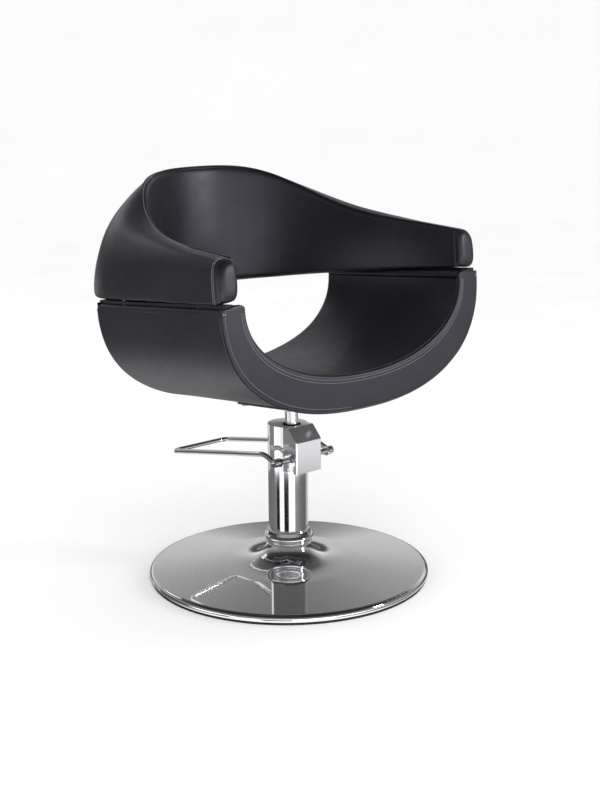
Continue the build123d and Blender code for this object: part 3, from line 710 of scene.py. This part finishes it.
# The top of each facing rises towards the inside and then turns down round a corner.
FACING_TOP, FACING_RISE, FACING_DROP = 0.028, 0.0052, 0.011
CORNER_START, CORNER_RUN = 0.76, 0.24
ARM_TOP_WIDTH, ARM_TOP_OUTSIDE, ARM_TOP_GAP = 0.046, 0.3425, 0.0005
# The pads on top of the arms are thicker inside this distance from the middle plane.
LIP_HEIGHT, LIP_START, LIP_RUN = 0.0042, 0.300, 0.014


def along_u(layer, top, inset):
    """A function of u in 0..1 giving x, z on a layer's U."""
    half_width, floor, power = layer
    line = cradle_line((half_width - inset, floor + inset, power), top, LINE_POINTS)
    at = np.linspace(0, 1, LINE_POINTS)
    return lambda u: np.stack([np.interp(u, at, line[:, k]) for k in range(2)], axis=-1)


def cradle_surface(layer, inset):
    """A layer of the U as a surface of u, along the U, and v, from front to back."""
    line = along_u(layer, PAD_TOP, inset)
    front, rear = BODY_FRONT + END_GAP, CRADLE_REAR - 2 * END_GAP

    def surface(u, v):
        xz = line(u)
        return np.stack([xz[..., 0], front + (rear - front) * v, xz[..., 1]], axis=-1)

    return surface


seat_cover = pad(
    "seat_cover_leather",
    cradle_surface(OUTER_U, inset=0.0012),
    cradle_surface(PLY_OUTER_U, inset=-0.0003),
    size_u=OUTER_RUN,
    size_v=BODY_LENGTH,
    depth=0.0064,
    radius=0.0026,
    step=0.012,
)
soft_piece(seat_cover, "seat_cover", limit=0.0016)

seat_pad = pad(
    "seat_inner_cushion",
    cradle_surface(INNER_U, inset=-0.0030),
    cradle_surface(PLY_INNER_U, inset=0.0005),
    size_u=INNER_RUN,
    size_v=BODY_LENGTH,
    depth=0.020,
    radius=0.0045,
    step=0.012,
)
soft_piece(seat_pad, "seat_pad", limit=0.006)


def facing_pad(name, face_y, back_y, node, tuck):
    """The padded panel that edges the U, at its front or its rear. A tucked panel is
    narrower, so that the cover and the cushion lap over its edges."""
    outer = along_u(OUTER_U, TOP_FRONT, tuck)
    inner = along_u(INNER_U, TOP_FRONT, -2.5 * tuck)

    def at_depth(y):
        def surface(u, v):
            a, b = outer(u), inner(u)
            xz = a + (b - a) * v[..., None]
            near_top = np.clip(1 - np.minimum(u, 1 - u) * FACING_RUN / FACING_TOP, 0, 1)
            corner = np.clip((v - CORNER_START) / CORNER_RUN, 0, 1)
            rise = FACING_RISE * smooth((v - 0.1) / 0.6)
            drop = FACING_DROP * (1 - np.sqrt(1 - corner**2))
            xz[..., 1] += near_top * (rise - drop)
            return np.stack([xz[..., 0], np.full_like(u, y), xz[..., 1]], axis=-1)

        return surface

    made = pad(
        name,
        at_depth(face_y),
        at_depth(back_y),
        size_u=FACING_RUN,
        size_v=FACING_WIDTH,
        depth=abs(face_y - back_y),
        radius=0.0032,
        step=0.0065,
    )
    soft_piece(made, node, limit=0.0030)
    return made


front_facing = facing_pad(
    "front_edge_panel", CRADLE_FRONT + END_GAP, BODY_FRONT, "front_facing", tuck=0.0
)
rear_facing = facing_pad(
    "rear_edge_panel", CRADLE_REAR - END_GAP, BODY_REAR, "rear_facing", tuck=0.0026
)


def arm_top(side, depth):
    """The top of one arm of the U, or a surface at a depth below it, higher towards the inside."""
    level_front, level_rear = TOP_FRONT - depth, TOP_REAR - depth

    def surface(u, v):
        y = BODY_FRONT + END_GAP + (BODY_LENGTH - 2 * END_GAP) * u
        x = INNER_U[0] + ARM_TOP_GAP + (ARM_TOP_OUTSIDE - INNER_U[0] - ARM_TOP_GAP) * v
        rise = LIP_HEIGHT * (1 - smooth((x - LIP_START) / LIP_RUN))
        z = level_front + (level_rear - level_front) * u + rise
        return np.stack([side * x, y, z], axis=-1)

    return surface


for name, side in (("left", -1), ("right", 1)):
    top_pad = pad(
        f"arm_top_pad_{name}",
        arm_top(side, 0.0012),
        arm_top(side, 0.0120),
        size_u=BODY_LENGTH,
        size_v=ARM_TOP_WIDTH,
        depth=0.0108,
        radius=0.006,
        step=0.008,
    )
    soft_piece(top_pad, "arm_top_pads", limit=0.0012)

# ---------------------------------------------------------------------------
# Back band: inner pad, outer pad over the crest, and the two end caps
# ---------------------------------------------------------------------------

ARM_STATIONS, FAN_STATIONS = 28, 91
DOME_POINTS = 120
WALL_HEIGHT, DOME_WIDTH = 0.150, 0.26
CAP_POINTS, CAP_RINGS = 96, 15
CAP_START, CAP_GAP, CAP_SHORT = 0.002, 0.0006, 0.0012

stations = band_stations(ARM_STATIONS, FAN_STATIONS)
station_centres = np.array([s.place([s.near, s.high]) for s in stations])
station_steps = np.linalg.norm(np.diff(station_centres, axis=0), axis=1)
band_run = np.concatenate([[0], np.cumsum(station_steps)])
band_length = float(band_run[-1])


def band_surface(lines):
    """A surface of u and v from one polyline per station, all with the same number of points."""
    grid = np.array([s.place(line) for s, line in zip(stations, lines)])
    share = band_run / band_length
    at_v = np.linspace(0, 1, grid.shape[1])

    def surface(u, v):
        shape = u.shape
        fu = np.interp(u.ravel(), share, np.arange(len(share)))
        fv = np.interp(v.ravel(), at_v, np.arange(grid.shape[1]))
        i = np.minimum(fu.astype(int), len(share) - 2)
        j = np.minimum(fv.astype(int), grid.shape[1] - 2)
        a, b = (fu - i)[:, None], (fv - j)[:, None]
        found = (
            grid[i, j] * (1 - a) * (1 - b)
            + grid[i + 1, j] * a * (1 - b)
            + grid[i, j + 1] * (1 - a) * b
            + grid[i + 1, j + 1] * a * b
        )
        return found.reshape(*shape, 3)

    return surface


def wall_line(s, setback, raised):
    """The inner wall from its foot to the crest, moved outward by setback."""
    foot = np.array([s.foot_near + setback, s.foot + raised])
    crest = np.array([s.near + setback, s.high - 0.001])
    return foot + (crest - foot) * np.linspace(0, 1, DOME_POINTS)[:, None]


inner_pad = pad(
    "back_inner_cushion",
    band_surface([wall_line(s, setback=0.0028, raised=0.0) for s in stations]),
    band_surface([wall_line(s, setback=0.0180, raised=0.001) for s in stations]),
    size_u=band_length,
    size_v=WALL_HEIGHT,
    depth=0.0152,
    radius=0.008,
    step=0.012,
)
soft_piece(inner_pad, "back_inner_pad", limit=0.004)


def dome_line(s, inset):
    """Crest, over the outside, to the outer foot and back under to the inner foot."""
    skin = s.dome(100)
    skin[:, 0] = np.maximum(skin[:, 0], s.near + 0.0045)
    outer_foot = np.array([s.far, BAND_BOTTOM])
    inner_foot = np.array([s.foot_near + 0.005, s.foot])
    under = outer_foot + (inner_foot - outer_foot) * np.linspace(0, 1, 30)[1:, None]
    line = resample(np.vstack([skin, under]), DOME_POINTS)
    middle = np.array([(s.near + s.far) / 2, (s.high + BAND_BOTTOM) / 2])
    reach = np.linalg.norm(line - middle, axis=1, keepdims=True)
    return line + (middle - line) / reach * inset


outer_pad = pad(
    "back_outer_cushion",
    band_surface([dome_line(s, inset=0.0015) for s in stations]),
    band_surface([dome_line(s, inset=0.0135) for s in stations]),
    size_u=band_length,
    size_v=DOME_WIDTH,
    depth=0.0120,
    radius=0.0050,
    step=0.010,
)
soft_piece(outer_pad, "back_outer_pad", limit=0.003)


def rounded_loop(points, rounds):
    """A closed line with its corners worn down by averaging neighbours."""
    for _ in range(rounds):
        points = (np.roll(points, 1, axis=0) + 2 * points + np.roll(points, -1, axis=0)) / 4
    return points


def arm_cap(name, side):
    """The padded D-shaped end of one arm, drawn as rings that close on its middle."""
    first = stations[0] if side < 0 else stations[-1]
    skin = dome_line(first, inset=CAP_GAP)
    foot = np.array([first.foot_near + CAP_GAP, first.foot + 0.0008])
    crest = np.array([first.near + CAP_GAP, first.high - 0.0010])
    wall = foot + (crest - foot) * np.linspace(0, 1, 40)[:, None]
    outline = np.vstack([skin, wall])
    outline = resample(np.vstack([outline, outline[:1]]), CAP_POINTS + 1)[:-1]
    outline = rounded_loop(outline, 3)
    soft = rounded_loop(outline, 60)
    middle = outline.mean(axis=0)
    depth = CAP_LINE - (BAND_FRONT + CAP_SHORT)
    # Each ring: how soft its outline is, its size as a share of the outline, its y.
    rings = [(0.25, 1.0, CAP_LINE), (0.4, 1.0, CAP_LINE - CAP_START)]
    for share in np.cos(np.linspace(0.0, math.pi / 2, CAP_RINGS))[1:-1] ** 0.45:
        y = CAP_LINE - CAP_START - (depth - CAP_START) * (1 - share**5) ** (1 / 2.2)
        rings.append((min(1.0, 0.4 + 0.9 * (CAP_LINE - y) / depth), share, y))
    verts, faces, count = [], [], CAP_POINTS
    for softness, share, y in rings:
        ring = middle + (outline + (soft - outline) * softness - middle) * share
        verts.append(np.stack([ring[:, 0] * side, np.full(count, y), ring[:, 1]], axis=1))
    for y in (CAP_LINE - depth, CAP_LINE):
        verts.append(np.array([[middle[0] * side, y, middle[1]]]))
    verts = np.vstack(verts)
    last = len(rings) - 1
    for r in range(last):
        here, there = r * count, (r + 1) * count
        for k in range(count):
            n = (k + 1) % count
            faces.append((here + k, here + n, there + n, there + k))
    for k in range(count):
        n = (k + 1) % count
        faces.append((last * count + k, last * count + n, len(verts) - 2))
        faces.append((n, k, len(verts) - 1))
    piece = new_mesh(name, to_world(verts), faces)
    face_outward(piece)
    # The first five rings are held, and so is the middle of the hidden side.
    mark_free(piece, range(5 * count, len(verts) - 1))
    return piece


arm_caps = [arm_cap("arm_cap_left", -1), arm_cap("arm_cap_right", 1)]
for piece in arm_caps:
    soft_piece(piece, "arm_caps", limit=0.0018)

# ---------------------------------------------------------------------------
# Seams
# ---------------------------------------------------------------------------

SEAM_SHARES = (0.80, 0.88)
SEAM_THREAD = 0.00042

facing_tree = surface_of(front_facing)
outer_tree = surface_of(outer_pad)
rear_tree = surface_of(rear_facing)


def facing_path(y, share, low=0.012, high=0.988, count=260):
    """A line along the U at one share of the panel's width, 0 outside and 1 inside."""
    u = np.linspace(low, high, count)
    a, b = along_u(OUTER_U, TOP_FRONT, 0.0)(u), along_u(INNER_U, TOP_FRONT, 0.0)(u)
    xz = a + (b - a) * share
    return to_world(np.stack([xz[:, 0], np.full(count, y), xz[:, 1]], axis=1))


seam_rows = [laid_on(facing_tree, facing_path(CRADLE_FRONT, share)) for share in SEAM_SHARES]
stitches("front_seam_stitches", seam_rows, SEAM_THREAD)
edge_row = laid_on(facing_tree, facing_path(CRADLE_FRONT, 0.10, high=0.46))
stitches("front_edge_stitches", [edge_row], radius=0.00038)
tack_rows = []
for low, high in ((0.004, 0.016), (0.984, 0.996)):
    for share in (0.045, 0.115):
        tack_path = facing_path(CRADLE_FRONT, share, low, high, count=24)
        tack_rows.append(laid_on(facing_tree, tack_path))
stitches("front_bar_tacks", tack_rows, radius=0.00080, pitch=0.0060, length=0.0050)
tube("front_outer_piping", facing_path(BODY_FRONT + 0.001, -0.012), radius=0.0017)
tube("front_inner_piping", facing_path(BODY_FRONT + 0.001, 1.010), radius=0.0014)
seam_rows = [laid_on(rear_tree, facing_path(CRADLE_REAR, share)) for share in SEAM_SHARES]
stitches("rear_seam_stitches", seam_rows, SEAM_THREAD)


def crest_path(outward, above, count):
    """A line along the band's crest, from the left cap to the right one."""
    places = [s.place([s.near + outward, s.high + above]) for s in stations]
    return resample(to_world(np.array(places)), count)


tube("crest_piping", crest_path(outward=0.0052, above=-0.0008, count=260), radius=0.0013)
crest_row = laid_on(outer_tree, crest_path(outward=0.0115, above=0.002, count=400))
stitches("crest_seam_stitches", [crest_row], radius=0.00040)
# Two rows run over the outside just behind each cap, and stop short of the crest and foot.
for name, end in (("left", stations[0]), ("right", stations[-1])):
    rows = []
    for back in (0.0040, 0.0085):
        ring = end.place(dome_line(end, inset=-0.004)[6:96])
        ring[:, 1] += back
        rows.append(laid_on(outer_tree, to_world(ring)))
    stitches(f"cap_seam_stitches_{name}", rows, radius=0.00045, pitch=0.0050, length=0.0038)

# ---------------------------------------------------------------------------
# Studio: a round floor that curves up into a wall, the surroundings, three lamps
# ---------------------------------------------------------------------------

FLOOR_TURNS = 96
# Radius and height of each ring of the floor.
FLOOR_RINGS = [(0.7, 0.0), (2.0, 0.0), (5.0, 0.0), (6.0, 0.12)]
FLOOR_RINGS += [(6.9, 0.5), (7.5, 1.2), (7.8, 2.2), (7.9, 3.4)]

verts, faces = [(0.0, 0.0, 0.0)], []
for radius, height in FLOOR_RINGS:
    for k in range(FLOOR_TURNS):
        a = 2 * math.pi * k / FLOOR_TURNS
        verts.append((radius * math.cos(a), radius * math.sin(a), height))
for k in range(FLOOR_TURNS):
    faces.append((0, 1 + k, 1 + (k + 1) % FLOOR_TURNS))
for r in range(len(FLOOR_RINGS) - 1):
    here, there = 1 + r * FLOOR_TURNS, 1 + (r + 1) * FLOOR_TURNS
    for k in range(FLOOR_TURNS):
        n = (k + 1) % FLOOR_TURNS
        faces.append((here + k, there + k, there + n, here + n))
floor = new_mesh("floor", verts, faces)
floor.data.materials.append(make_floor())
floor.visible_glossy = False

world = bpy.data.worlds.new("studio")
bpy.context.scene.world = world
world.use_nodes = True
nodes, links = world.node_tree.nodes, world.node_tree.links
direction = nodes.new("ShaderNodeTexCoord").outputs["Generated"]
split = nodes.new("ShaderNodeSeparateXYZ")
links.new(direction, split.inputs[0])


def math_node(operation, first, second=None):
    """One calculation on numbers or on the outputs of other nodes."""
    made = nodes.new("ShaderNodeMath")
    made.operation = operation
    for socket, value in zip(made.inputs, (first, second)):
        if value is None:
            continue
        if isinstance(value, (int, float)):
            socket.default_value = value
        else:
            links.new(value, socket)
    return made.outputs[0]


def colour_mix(first, second):
    """A colour mix of two outputs, and its node."""
    made = nodes.new("ShaderNodeMix")
    made.data_type = "RGBA"
    links.new(first, made.inputs[6])
    links.new(second, made.inputs[7])
    return made.outputs[2], made


def multiply(first, second):
    result, made = colour_mix(first, second)
    made.blend_type = "MULTIPLY"
    made.inputs["Factor"].default_value = 1.0
    return result


def blend(factor, first, second):
    """The first colour where the factor is 0, the second where it is 1."""
    result, made = colour_mix(first, second)
    links.new(factor, made.inputs["Factor"])
    return result


def flat(value):
    made = nodes.new("ShaderNodeRGB")
    made.outputs[0].default_value = (*grey(value), 1.0)
    return made.outputs[0]


# Turn round the chair, 0 to 1, with 0.5 towards the camera and larger to its right.
turned = math_node("ARCTAN2", split.outputs["Y"], split.outputs["X"])
toward_camera = math.atan2(CAMERA_PLACE[1], CAMERA_PLACE[0])
offset = math_node("SUBTRACT", turned, toward_camera)
share = math_node("DIVIDE", offset, 2 * math.pi)
turn_share = math_node("FRACT", math_node("ADD", share, 1.5))
height = split.outputs["Z"]


def greys_by_turn(stops):
    """Greys round the chair, each at its angle in degrees from the camera's side."""
    placed = [(0.5 + degrees / 360.0, grey(value)) for degrees, value in stops]
    return ramp(nodes, links, turn_share, placed)


def greys_by_height(value, stops):
    return ramp(nodes, links, value, [(at, grey(shade)) for at, shade in stops])


# Upright panels of light and dark, which the chrome column and base reflect.
bands = greys_by_turn(
    [(-180, 0.30), (-150, 0.17), (-72, 0.21), (-66, 0.004), (-52, 0.004), (-50, 1.25)]
    + [(-25, 1.25), (-23, 0.008), (1, 0.02), (4, 1.3), (38, 1.3), (41, 0.34)]
    + [(80, 0.18), (118, 0.15), (126, 0.50), (180, 0.9)]
)
# The room just below eye level, brighter towards the floor, which upright leather reflects.
wall_turn = greys_by_turn(
    [(-180, 0.35), (-150, 0.40), (-136, 0.80), (-133, 0.10), (-130, 0.80), (-122, 0.10)]
    + [(-88, 0.10), (-76, 2.10), (-58, 2.10), (-40, 0.60), (-10, 1.60), (20, 2.40)]
    + [(50, 2.40), (72, 1.00), (84, 0.70), (100, 0.60), (140, 0.10), (180, 0.30)]
)
wall_depth = math_node("MULTIPLY", height, -3.5)
wall_height = greys_by_height(wall_depth, [(0.0, 0.35), (0.15, 0.50), (0.42, 1.25), (1.0, 1.30)])
wall = multiply(wall_turn, wall_height)
# The room above eye level, brightest in a low strip and away from the camera.
sky_height = greys_by_height(
    height,
    [(0.0, 0.06), (0.13, 0.12), (0.20, 0.66), (0.28, 0.58)]
    + [(0.37, 0.42), (0.46, 0.33), (0.60, 0.10), (0.80, 0.04)],
)
sky_turn = greys_by_turn(
    [(-180, 0.95), (-170, 1.05), (-160, 1.45), (-145, 1.30), (-110, 0.60)]
    + [(110, 0.60), (145, 1.30), (160, 1.45), (170, 1.05), (180, 0.95)]
)
sky = multiply(sky_height, sky_turn)

# Which part of the room a reflection shows depends on how far down it points, from 0 for
# level to -1 for straight down. The panels start at the first height and give way to the
# bright floor from the second one on, over a stretch as long as the third value.
PANELS_FROM, FLOOR_FROM, FLOOR_BLEND = -0.283, -0.55, 0.25
above = math_node("GREATER_THAN", height, 0.0)
below = math_node("LESS_THAN", height, PANELS_FROM)
deeper = math_node("MULTIPLY", math_node("ADD", height, -FLOOR_FROM), -1 / FLOOR_BLEND)
steep = math_node("MINIMUM", math_node("MAXIMUM", deeper, 0.0), 1.0)
room = blend(below, blend(above, wall, sky), bands)
seen = blend(steep, room, flat(1.25))

# Reflections see the room. The camera and all other light see plain white.
background = nodes["Background"]
is_reflection = nodes.new("ShaderNodeLightPath").outputs["Is Glossy Ray"]
links.new(blend(is_reflection, flat(1.12), seen), background.inputs["Color"])
background.inputs["Strength"].default_value = 0.95


def soft_light(name, position, target, size, energy, glossy):
    """A rectangular lamp. Glossy says whether reflections show it."""
    data = bpy.data.lights.new(name, "AREA")
    data.shape = "RECTANGLE"
    data.size, data.size_y = size
    data.energy = energy
    lamp = bpy.data.objects.new(name, data)
    lamp.location = position
    lamp.rotation_mode = "QUATERNION"
    lamp.rotation_quaternion = (Vector(target) - Vector(position)).to_track_quat("-Z", "Y")
    lamp.visible_glossy = glossy
    bpy.context.scene.collection.objects.link(lamp)


soft_light("key", (-1.2, -2.4, 2.6), (0, 0, 0.5), (1.4, 1.4), energy=22.0, glossy=False)
soft_light("right", (1.50, -2.30, 1.20), (-0.08, 0.25, 0.85), (0.26, 0.70), energy=15.0, glossy=True)
soft_light("rim", (-0.4, 3.2, 2.4), (0, 0, 0.8), (1.4, 0.8), energy=3.0, glossy=True)
